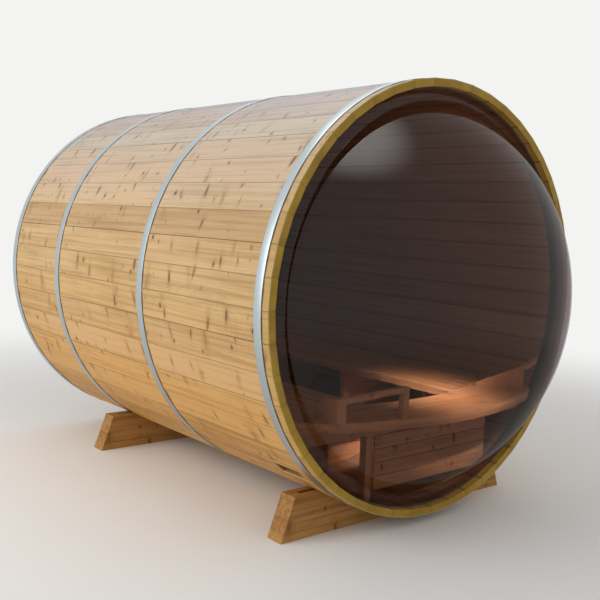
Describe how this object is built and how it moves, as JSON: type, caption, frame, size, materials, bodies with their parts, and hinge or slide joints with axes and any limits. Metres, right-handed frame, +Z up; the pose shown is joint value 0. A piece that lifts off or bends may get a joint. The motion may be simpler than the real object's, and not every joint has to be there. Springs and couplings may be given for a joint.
{
  "type": "barrel sauna",
  "caption": "Round cedar barrel sauna on two cradles, with steel bands, a full-width tinted bubble window at one end, benches inside and a glazed door at the other end.",
  "frame": {"origin": "on the ground under the middle of the whole length, where the cradles' undersides rest", "axes": "+Z up, the barrel's axis along Y with the bubble window towards -Y, +X to the right seen from the window end"},
  "size_m": [2.1426, 3.285, 2.1863],
  "materials": {
    "cedar_staves": "matt",
    "cradle_cedar": "matt",
    "inner_cedar": "matt",
    "end_cedar": "matt",
    "galvanized_band": "satin",
    "tinted_acrylic": "gloss",
    "door_glass": "gloss",
    "hinge_steel": "satin"
  },
  "bodies": {
    "root": {"upper_right_staves_even": "cedar_staves", "upper_right_staves_odd": "cedar_staves", "lower_right_staves_even": "cedar_staves", "lower_right_staves_odd": "cedar_staves", "lower_left_staves_even": "cedar_staves", "lower_left_staves_odd": "cedar_staves", "upper_left_staves_even": "cedar_staves", "upper_left_staves_odd": "cedar_staves", "front_cradle_planks": "cradle_cedar", "front_cradle_end_blocks": "cradle_cedar", "front_cradle_base": "cradle_cedar", "rear_cradle_planks": "cradle_cedar", "rear_cradle_end_blocks": "cradle_cedar", "rear_cradle_base": "cradle_cedar", "window_band": "galvanized_band", "front_middle_band": "galvanized_band", "rear_middle_band": "galvanized_band", "door_band": "galvanized_band", "band_tensioners": "galvanized_band", "window_bubble": "tinted_acrylic", "left_bench_slats": "inner_cedar", "right_bench_slats": "inner_cedar", "left_bench_supports": "inner_cedar", "right_bench_supports": "inner_cedar", "curved_seat_panel": "inner_cedar", "curved_seat_nosing": "inner_cedar", "curved_seat_rail": "inner_cedar", "curved_seat_legs": "inner_cedar", "curved_seat_skirt": "inner_cedar", "left_seat_guard": "inner_cedar", "right_seat_guard": "inner_cedar", "floor_boards": "inner_cedar", "floor_joists": "inner_cedar", "vent_shutter": "inner_cedar", "end_wall_left": "end_cedar", "end_wall_right": "end_cedar", "end_wall_header": "end_cedar", "end_wall_sill": "end_cedar", "door_frame": "end_cedar", "door_casing": "end_cedar", "door_leaf": "end_cedar", "door_handle": "end_cedar", "door_glass": "door_glass", "door_hinges": "hinge_steel"}
  },
  "joints": []
}
